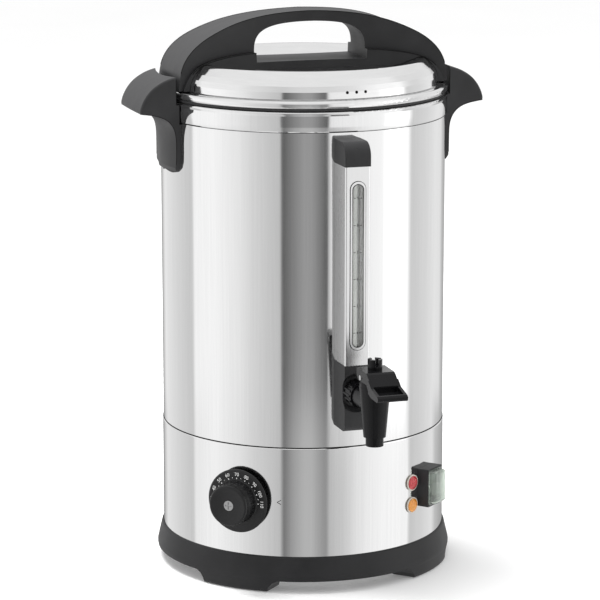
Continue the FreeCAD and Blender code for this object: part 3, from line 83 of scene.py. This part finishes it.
def studio(world):
    """Two big soft panels left and right of the camera, a gap between them, a soft ceiling and a white surround."""
    world.use_nodes = True
    nt = world.node_tree
    nt.nodes.clear()
    N = nt.nodes.new
    L = nt.links.new
    coord = N("ShaderNodeTexCoord")
    f = N("ShaderNodeVectorMath"); f.operation = "DOT_PRODUCT"; f.inputs[1].default_value = TOWARD
    s = N("ShaderNodeVectorMath"); s.operation = "DOT_PRODUCT"; s.inputs[1].default_value = SIDE
    L(coord.outputs["Generated"], f.inputs[0])
    L(coord.outputs["Generated"], s.inputs[0])
    at = N("ShaderNodeMath"); at.operation = "ARCTAN2"
    L(s.outputs["Value"], at.inputs[0])
    L(f.outputs["Value"], at.inputs[1])
    turn = N("ShaderNodeMapRange")
    turn.inputs["From Min"].default_value = -math.pi
    turn.inputs["From Max"].default_value = math.pi
    L(at.outputs[0], turn.inputs["Value"])
    low = N("ShaderNodeValToRGB")
    high = N("ShaderNodeValToRGB")

    def at_deg(stops):
        return [((d + 180.0) / 360.0, v / 4.0) for d, v in stops]

    # levels are a quarter of the light, so that the ramp stays in its range
    ramp_stops(low, at_deg([(-180, 0.28), (-168, 0.36), (-160, 0.66), (-152, 0.95), (-134, 0.88), (-101.5, 0.70), (-98.5, 1.12), (-76, 1.14),
                            (-52, 0.97), (-41, 0.82), (-25, 0.68), (-18.2, 0.64), (-16.6, 0.125), (-8, 0.26), (1, 0.38), (7, 0.37), (13, 0.26),
                            (19.6, 0.12), (21.4, 0.98), (55, 1.10), (67, 1.16), (75, 1.9), (89, 1.9), (94.5, 1.14), (98, 0.74), (117, 0.83),
                            (136, 0.95), (149, 0.88), (157, 0.55), (180, 0.28)]))
    base = N("ShaderNodeValToRGB")
    ramp_stops(base, at_deg([(-180, 0.28), (-166, 0.32), (-158, 0.60), (-148, 0.92), (-134, 0.88), (-101.5, 0.70), (-98.5, 1.0), (-76, 1.10),
                             (-52, 0.93), (-41, 0.80), (-25, 0.68), (-18.2, 0.62), (-16.0, 0.20), (-8, 0.42), (1, 0.56), (7, 0.56), (13, 0.44),
                             (19.2, 0.33), (21.4, 0.60), (34, 0.72), (44, 0.92), (55, 1.05), (67, 1.13), (80, 1.14), (94.5, 1.12), (98, 0.70),
                             (117, 0.82), (132, 0.92), (140, 0.62), (152, 0.48), (180, 0.28)]))
    ramp_stops(high, at_deg([(-180, 0.9), (-120, 0.86), (-100, 1.02), (-60, 0.98), (-30, 0.78), (-18, 0.72), (-5, 0.80), (10, 0.82), (22, 0.80),
                             (45, 0.90), (70, 1.15), (95, 1.15), (108, 0.86), (180, 0.9)]))
    L(turn.outputs[0], base.inputs[0])
    L(turn.outputs[0], low.inputs[0])
    L(turn.outputs[0], high.inputs[0])
    split = N("ShaderNodeSeparateXYZ")
    L(coord.outputs["Generated"], split.inputs[0])
    up = N("ShaderNodeMapRange"); up.interpolation_type = "SMOOTHSTEP"
    up.inputs["From Min"].default_value = 0.12
    up.inputs["From Max"].default_value = 0.36
    L(split.outputs["Z"], up.inputs["Value"])
    step = N("ShaderNodeMapRange"); step.interpolation_type = "SMOOTHSTEP"
    step.inputs["From Min"].default_value = -0.25
    step.inputs["From Max"].default_value = -0.232
    L(split.outputs["Z"], step.inputs["Value"])
    front = N("ShaderNodeMix"); front.data_type = "RGBA"
    L(step.outputs[0], front.inputs["Factor"])
    L(base.outputs[0], front.inputs["A"])
    L(low.outputs[0], front.inputs["B"])
    mix = N("ShaderNodeMix"); mix.data_type = "RGBA"
    L(up.outputs[0], mix.inputs["Factor"])
    L(front.outputs["Result"], mix.inputs["A"])
    L(high.outputs[0], mix.inputs["B"])
    # the ceiling is a broad soft light
    top = N("ShaderNodeMapRange"); top.interpolation_type = "SMOOTHSTEP"
    top.inputs["From Min"].default_value = 0.45
    top.inputs["From Max"].default_value = 0.9
    L(split.outputs["Z"], top.inputs["Value"])
    mix2 = N("ShaderNodeMix"); mix2.data_type = "RGBA"
    mix2.inputs["B"].default_value = (0.235, 0.235, 0.235, 1)
    L(top.outputs[0], mix2.inputs["Factor"])
    L(mix.outputs["Result"], mix2.inputs["A"])
    bg = N("ShaderNodeBackground"); bg.inputs["Strength"].default_value = 4.0
    L(mix2.outputs["Result"], bg.inputs["Color"])
    plain = N("ShaderNodeBackground")
    plain.inputs["Color"].default_value = (1, 1, 1, 1)
    plain.inputs["Strength"].default_value = 1.0
    path = N("ShaderNodeLightPath")
    both = N("ShaderNodeMixShader")
    L(path.outputs["Is Camera Ray"], both.inputs[0])
    L(bg.outputs[0], both.inputs[1])
    L(plain.outputs[0], both.inputs[2])
    out = N("ShaderNodeOutputWorld")
    L(both.outputs[0], out.inputs["Surface"])


world = bpy.data.worlds.new("studio")
scene.world = world
studio(world)


# a broad soft light overhead that only the matt surfaces take up
lamp = bpy.data.lights.new("overhead", "AREA")
lamp.shape = "DISK"
lamp.size = 1.1
lamp.energy = 46.0
overhead = bpy.data.objects.new("overhead", lamp)
scene.collection.objects.link(overhead)
overhead.location = Vector((-0.35, 0.35, 1.75))
overhead.rotation_euler = (Vector((0, 0, 0.3)) - overhead.location).to_track_quat("-Z", "Y").to_euler()
overhead.visible_glossy = False
overhead.visible_camera = False


# ------------------------------------------------------------------ materials
def material(name):
    m = bpy.data.materials.new(name)
    m.use_nodes = True
    nt = m.node_tree
    nt.nodes.clear()
    out = nt.nodes.new("ShaderNodeOutputMaterial")
    bsdf = nt.nodes.new("ShaderNodeBsdfPrincipled")
    nt.links.new(bsdf.outputs[0], out.inputs["Surface"])
    return m, nt, bsdf


def noise(nt, scale, stretch=(1, 1, 1), detail=3.0, rough=0.55, offset=(0, 0, 0)):
    coord = nt.nodes.new("ShaderNodeTexCoord")
    mapping = nt.nodes.new("ShaderNodeMapping")
    mapping.inputs["Scale"].default_value = stretch
    mapping.inputs["Location"].default_value = offset
    nt.links.new(coord.outputs["Object"], mapping.inputs["Vector"])
    tex = nt.nodes.new("ShaderNodeTexNoise")
    tex.inputs["Scale"].default_value = scale
    tex.inputs["Detail"].default_value = detail
    tex.inputs["Roughness"].default_value = rough
    nt.links.new(mapping.outputs[0], tex.inputs["Vector"])
    return tex


def ramp(nt, source, stops):
    node = nt.nodes.new("ShaderNodeValToRGB")
    ramp_stops(node, stops)
    nt.links.new(source, node.inputs[0])
    return node


def value_range(nt, source, low, high, a=0.3, b=0.7):
    node = nt.nodes.new("ShaderNodeMapRange")
    node.inputs["From Min"].default_value = a
    node.inputs["From Max"].default_value = b
    node.inputs["To Min"].default_value = low
    node.inputs["To Max"].default_value = high
    nt.links.new(source, node.inputs["Value"])
    return node.outputs[0]


def bump(nt, source, distance, strength=1.0, below=None):
    node = nt.nodes.new("ShaderNodeBump")
    node.inputs["Distance"].default_value = distance
    node.inputs["Strength"].default_value = strength
    nt.links.new(source, node.inputs["Height"])
    if below is not None:
        nt.links.new(below, node.inputs["Normal"])
    return node.outputs[0]


def steel(name, light=0.80, rough=(0.05, 0.10), streak=(700, 700, 9), wave=0.00004, grain=0.0000012):
    """Polished sheet: long fine streaks, a faint waviness and slightly uneven gloss."""
    m, nt, b = material(name)
    b.inputs["Metallic"].default_value = 1.0
    streaks = noise(nt, 1.0, streak, 4.0, 0.6)
    cloud = noise(nt, 26.0, (1, 1, 1), 3.0, 0.5, (3, 1, 2))
    c = ramp(nt, streaks.outputs["Fac"], [(0.25, (light - 0.03, light - 0.03, light - 0.028)), (0.6, (light, light, light)),
                                          (0.8, (light + 0.02, light + 0.02, light + 0.022))])
    nt.links.new(c.outputs[0], b.inputs["Base Color"])
    add = nt.nodes.new("ShaderNodeMath"); add.operation = "MULTIPLY_ADD"
    add.inputs[1].default_value = 0.5
    nt.links.new(cloud.outputs["Fac"], add.inputs[0])
    half = nt.nodes.new("ShaderNodeMath"); half.operation = "MULTIPLY"; half.inputs[1].default_value = 0.5
    nt.links.new(streaks.outputs["Fac"], half.inputs[0])
    nt.links.new(half.outputs[0], add.inputs[2])
    nt.links.new(value_range(nt, add.outputs[0], rough[0], rough[1]), b.inputs["Roughness"])
    waves = noise(nt, 14.0, (1, 1, 0.5), 1.0, 0.4, (7, 5, 1))
    n = bump(nt, waves.outputs["Fac"], wave)
    n = bump(nt, streaks.outputs["Fac"], grain, 1.0, n)
    nt.links.new(n, b.inputs["Normal"])
    return m


def plastic(name, colour, rough=(0.38, 0.5), grain=0.00003, scale=1500.0, ior=1.5, spread=0.25, coat=0.0):
    """Moulded plastic with a fine spark-eroded grain and small shifts of tone."""
    m, nt, b = material(name)
    fine = noise(nt, scale, (1, 1, 1), 2.0, 0.5)
    cloud = noise(nt, 30.0, (1, 1, 1), 3.0, 0.5, (1, 4, 2))
    dark = tuple(c * (1 - spread) for c in colour)
    pale = tuple(min(1.0, c * (1 + spread)) for c in colour)
    c = ramp(nt, cloud.outputs["Fac"], [(0.3, dark), (0.7, pale)])
    nt.links.new(c.outputs[0], b.inputs["Base Color"])
    nt.links.new(value_range(nt, cloud.outputs["Fac"], rough[0], rough[1]), b.inputs["Roughness"])
    b.inputs["IOR"].default_value = ior
    b.inputs["Coat Weight"].default_value = coat
    b.inputs["Coat Roughness"].default_value = 0.08
    nt.links.new(bump(nt, fine.outputs["Fac"], grain, 0.6), b.inputs["Normal"])
    return m


def lens(name, colour, inner):
    """Coloured lamp lens: fine ribs under a clear gloss."""
    m, nt, b = material(name)
    cells = nt.nodes.new("ShaderNodeTexVoronoi")
    coord = nt.nodes.new("ShaderNodeTexCoord")
    nt.links.new(coord.outputs["Object"], cells.inputs["Vector"])
    cells.inputs["Scale"].default_value = 900.0
    c = ramp(nt, cells.outputs["Distance"], [(0.0, inner), (0.55, colour)])
    nt.links.new(c.outputs[0], b.inputs["Base Color"])
    cloud = noise(nt, 300.0)
    nt.links.new(value_range(nt, cloud.outputs["Fac"], 0.22, 0.34), b.inputs["Roughness"])
    b.inputs["Coat Weight"].default_value = 0.6
    b.inputs["Coat Roughness"].default_value = 0.12
    b.inputs["Subsurface Weight"].default_value = 0.25
    b.inputs["Subsurface Radius"].default_value = (0.002, 0.0012, 0.0008)
    nt.links.new(bump(nt, cells.outputs["Distance"], 0.00008, 0.5), b.inputs["Normal"])
    return m


def clear(name, colour, rough, transmission=1.0, ior=1.49):
    m, nt, b = material(name)
    cloud = noise(nt, 120.0, (1, 1, 0.2), 2.0)
    c = ramp(nt, cloud.outputs["Fac"], [(0.3, tuple(x * 0.94 for x in colour)), (0.7, colour)])
    nt.links.new(c.outputs[0], b.inputs["Base Color"])
    nt.links.new(value_range(nt, cloud.outputs["Fac"], rough * 0.8, rough * 1.3), b.inputs["Roughness"])
    b.inputs["Transmission Weight"].default_value = transmission
    b.inputs["IOR"].default_value = ior
    return m


MATS = {
    "shell": steel("steel_shell"),
    "lid": steel("steel_lid", 0.82, (0.06, 0.12), (60, 60, 500)),
    "inner": steel("steel_inner", 0.66, (0.22, 0.34), (300, 300, 30)),
    "plate": steel("steel_plate", 0.6, (0.25, 0.38), (40, 900, 900)),
    "bright": steel("bright_metal", 0.8, (0.12, 0.22), (600, 600, 600), 0.000002),
    "nickel": steel("nickel", 0.62, (0.25, 0.38), (800, 800, 800), 0.000002),
    "black": plastic("black_plastic", (0.024, 0.024, 0.025), (0.38, 0.50), 0.00003, 1500.0, 1.36),
    "base": plastic("black_base", (0.015, 0.015, 0.016), (0.40, 0.52), 0.00003, 1500.0, 1.36),
    "gloss": plastic("black_gloss", (0.004, 0.004, 0.0045), (0.16, 0.26), 0.000006, 900.0, 1.28),
    "column": steel("steel_column", 0.86, (0.24, 0.33), (500, 500, 9)),
    "screw": steel("dull_screw", 0.40, (0.30, 0.42), (800, 800, 800), 0.000002),
    # dark material for real joints between sheets and for painted shade lines and discs
    "joint_and_shade": plastic("dark_joint_and_shade", (0.006, 0.006, 0.006), (0.5, 0.6), 0.000004, 900.0, 1.2),
    "knob": plastic("black_knob", (0.009, 0.009, 0.0095), (0.28, 0.38), 0.000015, 1400.0, 1.38),
    "rubber": plastic("grey_rubber", (0.035, 0.035, 0.036), (0.65, 0.8), 0.00005, 900.0),
    "silicone": plastic("silicone", (0.62, 0.62, 0.60), (0.42, 0.55), 0.00001, 700.0, 1.41, 0.05),
    "ceramic": plastic("ceramic", (0.78, 0.76, 0.70), (0.5, 0.62), 0.00003, 1200.0, 1.5, 0.05),
    "mark": plastic("white_print", (0.80, 0.80, 0.79), (0.45, 0.55), 0.000004, 1200.0, 1.5, 0.04),
    "ink": plastic("black_ink", (0.03, 0.03, 0.03), (0.45, 0.55), 0.000004, 1200.0, 1.5, 0.1),
    "bezel": plastic("pale_bezel", (0.60, 0.56, 0.50), (0.25, 0.35), 0.000006, 800.0, 1.5, 0.06),
    "red": lens("red_lens", (0.42, 0.020, 0.028), (0.62, 0.09, 0.09)),
    "amber": lens("amber_lens", (0.66, 0.24, 0.022), (0.80, 0.42, 0.08)),
    "rocker": plastic("green_rocker", (0.10, 0.13, 0.11), (0.22, 0.32), 0.000006, 800.0),
    "red_plastic": plastic("red_plastic", (0.36, 0.02, 0.02), (0.3, 0.4), 0.00001, 900.0),
    "cover": clear("cover_clear", (0.80, 0.86, 0.80), 0.16, 0.85, 1.43),
    "glass": clear("gauge_glass", (0.97, 0.98, 0.97), 0.03, 1.0, 1.49),
    "window": clear("gauge_window_clear", (0.97, 0.98, 0.97), 0.02, 1.0, 1.49),
}
brass, bnt, bb = material("brass")
bb.inputs["Metallic"].default_value = 1.0
bn = noise(bnt, 400.0)
bnt.links.new(ramp(bnt, bn.outputs["Fac"], [(0.3, (0.60, 0.42, 0.20)), (0.7, (0.72, 0.54, 0.28))]).outputs[0], bb.inputs["Base Color"])
bnt.links.new(value_range(bnt, bn.outputs["Fac"], 0.22, 0.36), bb.inputs["Roughness"])
MATS["brass"] = brass

NODE_MATS = {
    "outer_shell": "shell", "base_shell": "shell", "collar_ring": "shell", "gauge_column": "column", "lid_dome": "lid",
    "inner_tank": "inner", "lid_locating_ring": "inner", "bottom_plate": "plate",
    "heating_element": "nickel", "terminal_block": "ceramic", "thermostat_body": "ceramic", "thermostat_probe": "brass",
    "thermal_cutout": "ceramic", "thermostat_shaft": "nickel", "reset_button": "red_plastic", "knob_screw": "screw",
    "lamp_red": "red", "lamp_amber": "amber", "lamp_bezels": "bezel", "switch_frame": "black", "switch_rocker": "rocker",
    "switch_cover": "cover", "rocker_pin": "bright", "inlet_socket": "black", "inlet_pins": "brass", "inlet_screws": "bright",
    "handle_left": "black", "handle_right": "black", "handle_screws": "bright", "gauge_cap": "black", "gauge_window": "window",
    "gauge_tube": "glass", "gauge_seals": "rubber", "gauge_tee": "silicone", "tap_bracket": "black", "tap_body": "gloss",
    "tap_ring": "gloss", "tap_bonnet": "gloss", "tap_lever": "gloss", "lever_crown": "gloss", "tap_pin": "bright",
    "tap_nut": "brass", "tap_washers": "silicone", "tap_stem": "bright", "tap_seat_cup": "silicone", "tap_spring": "bright",
    "thermostat_knob": "knob", "base_ring": "base", "foot_pads": "rubber", "bottom_screws": "bright", "lid_handle": "black",
    "lid_screws": "bright", "lid_seal": "rubber",
}
for name, obj in nodes.items():
    m = MATS[NODE_MATS.get(name, "black")]
    if obj.data.materials:
        for i in range(len(obj.data.materials)):
            obj.data.materials[i] = m
    else:
        obj.data.materials.append(m)


# ------------------------------------------------------------------ building blocks
def mesh_object(name, bm_or_mesh, mat, body, smooth_deg=None):
    if isinstance(bm_or_mesh, bmesh.types.BMesh):
        me = bpy.data.meshes.new(name)
        bm_or_mesh.to_mesh(me)
        bm_or_mesh.free()
    else:
        me = bm_or_mesh
    me.name = name
    obj = bpy.data.objects.new(name, me)
    scene.collection.objects.link(obj)
    me.materials.clear()
    me.materials.append(MATS[mat])
    if smooth_deg is not None:
        me.shade_smooth()
        me.set_sharp_from_angle(angle=math.radians(smooth_deg))
    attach(obj, body)
    return obj


def text_mesh(body, size, depth):
    """Generic figures as a closed raised plate, centred, in a plane with x right and y up (millimetres)."""
    cu = bpy.data.curves.new("figures", "FONT")
    cu.body = body
    cu.size = size
    cu.extrude = depth / 2
    cu.resolution_u = 3
    cu.align_x = "CENTER"
    cu.align_y = "CENTER"
    ob = bpy.data.objects.new("figures", cu)
    scene.collection.objects.link(ob)
    bpy.context.view_layer.update()
    me = bpy.data.meshes.new_from_object(ob.evaluated_get(bpy.context.evaluated_depsgraph_get()))
    bpy.data.objects.remove(ob)
    bpy.data.curves.remove(cu)
    return me


def add_mesh(bm, me, matrix):
    me.transform(matrix)
    bm.from_mesh(me)
    bpy.data.meshes.remove(me)


def add_disc(bm, x, y, r, depth, matrix, n=16):
    bottom = [bm.verts.new(matrix @ Vector((x + r * math.cos(2 * math.pi * k / n), y + r * math.sin(2 * math.pi * k / n), -depth / 2))) for k in range(n)]
    top = [bm.verts.new(matrix @ Vector((x + r * math.cos(2 * math.pi * k / n), y + r * math.sin(2 * math.pi * k / n), depth / 2))) for k in range(n)]
    bm.faces.new(top)
    bm.faces.new(list(reversed(bottom)))
    for k in range(n):
        bm.faces.new((bottom[k], bottom[(k + 1) % n], top[(k + 1) % n], top[k]))


def on_radial(az_deg, radius, z):
    """Maps a drawing (x right, y up, z out, millimetres) onto the plane that faces outward at that bearing."""
    turn = Matrix.Rotation(math.radians(az_deg), 4, "Z")
    face = Matrix(((1, 0, 0, 0), (0, 0, -1, -radius), (0, 1, 0, z), (0, 0, 0, 1)))
    return Matrix.Scale(MM, 4) @ turn @ face


# ------------------------------------------------------------------ dial figures
face = on_radial(-42.8, 132.93, 80.0)
bm = bmesh.new()
for k, value in enumerate(range(30, 120, 10)):
    bearing = math.radians(180.0 - 22.5 * k)
    spin = Matrix.Translation((23.7 * math.cos(bearing), 23.7 * math.sin(bearing), 0.03)) @ Matrix.Rotation(bearing - math.pi / 2, 4, "Z")
    add_mesh(bm, text_mesh(str(value), 4.3, 0.12), face @ spin)
    add_disc(bm, 20.5 * math.cos(bearing), 20.5 * math.sin(bearing), 0.55, 0.16, face @ Matrix.Translation((0, 0, 0.27)))
    if value < 110:
        between = math.radians(180.0 - 22.5 * (k + 0.5))
        add_disc(bm, 20.9 * math.cos(between), 20.9 * math.sin(between), 0.38, 0.16, face @ Matrix.Translation((0, 0, 0.24)))
mesh_object("dial_figures", bm, "mark", "thermostat_knob")

# ------------------------------------------------------------------ gauge figures
bm = bmesh.new()
for k, z in enumerate((348.9, 325.9, 302.9, 280.0, 257.0, 234.0)):
    place = on_radial(0.0, 152.46, z)
    add_mesh(bm, text_mesh(str(9 - k), 3.4, 0.08), place)
mesh_object("gauge_figures", bm, "ink", "urn_body")

# pale strip behind the gauge tube, so that the level shows against it; its emission is a painted glow, since the strip
# gives off light though it is no lamp
glowing_strip_mat, snt, sb = material("pale_glowing_strip")
sn = noise(snt, 90.0)
snt.links.new(ramp(snt, sn.outputs["Fac"], [(0.3, (0.80, 0.80, 0.79)), (0.7, (0.85, 0.85, 0.84))]).outputs[0], sb.inputs["Base Color"])
sb.inputs["Roughness"].default_value = 0.5
# emission: painted glow on the strip, not a lamp
sb.inputs["Emission Color"].default_value = (0.9, 0.9, 0.88, 1)
sb.inputs["Emission Strength"].default_value = 0.45
MATS["glowing_strip"] = glowing_strip_mat


def add_block(bm, low, high):
    """A block between two corners, in millimetres."""
    made = bmesh.ops.create_cube(bm, size=1.0)["verts"]
    for v in made:
        v.co = Vector([MM * (low[i] if v.co[i] < 0 else high[i]) for i in range(3)])


bm = bmesh.new()
add_block(bm, (-3.6, -141.9, 214.0), (3.6, -141.3, 372.0))
mesh_object("gauge_strip", bm, "glowing_strip", "urn_body")


def add_hoop(bm, points, radius, closed=False, sides=6):
    """A thin round bead through points in metres."""
    count = len(points)
    rings = []
    for i, p in enumerate(points):
        before = points[i - 1] if (i > 0 or closed) else p
        after = points[(i + 1) % count] if (i < count - 1 or closed) else p
        run = (after - before).normalized()
        side = run.cross(Vector((0, 0, 1)))
        if side.length < 1e-4:
            side = run.cross(Vector((0, 1, 0)))
        side.normalize()
        over = side.cross(run).normalized()
        rings.append([bm.verts.new(p + radius * (math.cos(2 * math.pi * k / sides) * side + math.sin(2 * math.pi * k / sides) * over)) for k in range(sides)])
    last = count if closed else count - 1
    for i in range(last):
        a, b = rings[i], rings[(i + 1) % count]
        for k in range(sides):
            bm.faces.new((a[k], a[(k + 1) % sides], b[(k + 1) % sides], b[k]))
    if not closed:
        bm.faces.new(list(reversed(rings[0])))
        bm.faces.new(rings[-1])


def circle(r, z, n=180):
    return [Vector((MM * r * math.cos(2 * math.pi * k / n), MM * r * math.sin(2 * math.pi * k / n), MM * z)) for k in range(n)]


# dark lines in the joints between the sheets
bm = bmesh.new()
add_hoop(bm, circle(124.82, 400.65), 0.00034, True)
add_hoop(bm, circle(125.10, 128.32), 0.00036, True)
mesh_object("joint_lines", bm, "joint_and_shade", "urn_body", 60)
bm = bmesh.new()
add_hoop(bm, circle(118.95, 427.52), 0.00026, True)
mesh_object("bead_line", bm, "joint_and_shade", "lid", 60)

# shaded backs of the three steam holes
bm = bmesh.new()
for deg in (0.9, 4.95, 9.0):
    add_disc(bm, 0.0, 0.0, 1.3, 0.3, on_radial(deg, 117.72, 433.0))
mesh_object("vent_shades", bm, "joint_and_shade", "lid")

# ------------------------------------------------------------------ painted shade lines along the creases of the black mouldings
def crease_edges(name, least, keep):
    """Sharp edges of a piece, as pairs of points in metres, read from its own surface."""
    me = nodes[name].data
    where = nodes[name].matrix_world
    key = lambda v: (round(v.x * 1e5), round(v.y * 1e5), round(v.z * 1e5))
    seen = {}
    for poly in me.polygons:
        pts = [where @ me.vertices[i].co for i in poly.vertices]
        normal = (where.to_3x3() @ poly.normal).normalized()
        for i in range(len(pts)):
            a, b = pts[i], pts[(i + 1) % len(pts)]
            k = tuple(sorted((key(a), key(b))))
            seen.setdefault(k, []).append((normal, a, b))
    found = []
    for k, users in sorted(seen.items()):
        if len(users) == 2 and users[0][0].angle(users[1][0], 0.0) > math.radians(least):
            a, b = users[0][1], users[0][2]
            m = (a + b) / 2 / MM
            if keep(m) and (a - b).length > 0.0002:
                found.append((a, b))
    return found


bm = bmesh.new()
for a, b in crease_edges("lid_handle", 38, lambda m: abs(m.y) > 13.5 and m.z > 443 and not (abs(m.x) < 52 and m.z < 484)):
    add_hoop(bm, [a, b], 0.00033, False, 5)
mesh_object("handle_crease_shade", bm, "joint_and_shade", "lid")
# dark lines as painted shade along the creases of the side handles
for side in ("left", "right"):
    bm = bmesh.new()
    for a, b in crease_edges("handle_" + side, 40, lambda m: abs(m.y) > 33.0 and 357.0 < m.z < 438 and abs(m.x) > 121.5):
        add_hoop(bm, [a, b], 0.00028, False, 5)
    if len(bm.verts):
        mesh_object("ear_crease_shade_" + side, bm, "joint_and_shade", "urn_body")
    else:
        bm.free()

# shaded lines around the gauge slot, and a tick beside each figure
def slot_outline(half, y, low, high, n=14):
    """A long rounded outline facing the front, in metres."""
    pts = [Vector((MM * half * math.cos(math.pi * k / n), MM * y, MM * (high + half * math.sin(math.pi * k / n)))) for k in range(n + 1)]
    pts += [Vector((-MM * half * math.cos(math.pi * k / n), MM * y, MM * (low - half * math.sin(math.pi * k / n)))) for k in range(n + 1)]
    return pts


bm = bmesh.new()
add_hoop(bm, slot_outline(6.82, -152.86, 226.0, 356.5), 0.00030, True)
add_hoop(bm, slot_outline(4.85, -153.40, 226.6, 355.9), 0.00034, True)
mesh_object("gauge_outline", bm, "joint_and_shade", "urn_body", 60)
bm = bmesh.new()
for z in (348.9, 325.9, 302.9, 280.0, 257.0, 234.0):
    add_block(bm, (1.9, -152.50, z - 0.22), (3.6, -152.42, z + 0.22))
    add_block(bm, (-3.6, -152.50, z - 0.22), (-1.9, -152.42, z + 0.22))
mesh_object("gauge_ticks", bm, "ink", "urn_body")

# index mark beside the dial
bm = bmesh.new()
for dy in (1.9, -1.9):
    tip = Vector((33.2, 0.0))
    end = Vector((36.6, dy))
    run = (end - tip).normalized() * 0.28
    nrm = Vector((-run.y, run.x))
    pts = []
    for c in (tip - nrm, tip + nrm, end + nrm, end - nrm):
        az = math.radians(-42.8) + c.x / 125.7
        pts.append(Vector((MM * 125.68 * math.sin(az), -MM * 125.68 * math.cos(az), MM * (80.0 + c.y))))
    low = [bm.verts.new(p) for p in pts]
    high = [bm.verts.new(p + Vector((p.x, p.y, 0)).normalized() * 0.00006) for p in pts]
    bm.faces.new(high)
    bm.faces.new(list(reversed(low)))
    for k in range(4):
        bm.faces.new((low[k], low[(k + 1) % 4], high[(k + 1) % 4], high[k]))
bmesh.ops.recalc_face_normals(bm, faces=bm.faces)
mesh_object("dial_index", bm, "ink", "urn_body")

# ------------------------------------------------------------------ valve spring
# The spring is copied into a mesh of its own, and the original part is hidden.
coil_mesh = nodes["tap_spring"].data.copy()
coil_mesh.name = "tap_spring_coil"
coil = bpy.data.objects.new("tap_spring_coil", coil_mesh)
scene.collection.objects.link(coil)
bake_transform(coil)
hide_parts("tap_spring")

# ------------------------------------------------------------------ floor
bm = bmesh.new()
n = 96
ring = [bm.verts.new((6.0 * math.cos(2 * math.pi * k / n), 6.0 * math.sin(2 * math.pi * k / n), 0.0)) for k in range(n)]
bm.faces.new(ring)
me = bpy.data.meshes.new("floor")
bm.to_mesh(me)
bm.free()
floor = bpy.data.objects.new("floor", me)
scene.collection.objects.link(floor)
fm, fnt, fb = material("floor_pale")
fn = noise(fnt, 3.0)
fnt.links.new(ramp(fnt, fn.outputs["Fac"], [(0.3, (0.90, 0.90, 0.90)), (0.7, (0.92, 0.92, 0.92))]).outputs[0], fb.inputs["Base Color"])
fb.inputs["Roughness"].default_value = 0.7
fb.inputs["Emission Color"].default_value = (1, 1, 1, 1)
fb.inputs["Emission Strength"].default_value = 0.14
me.materials.append(fm)
floor.visible_glossy = False
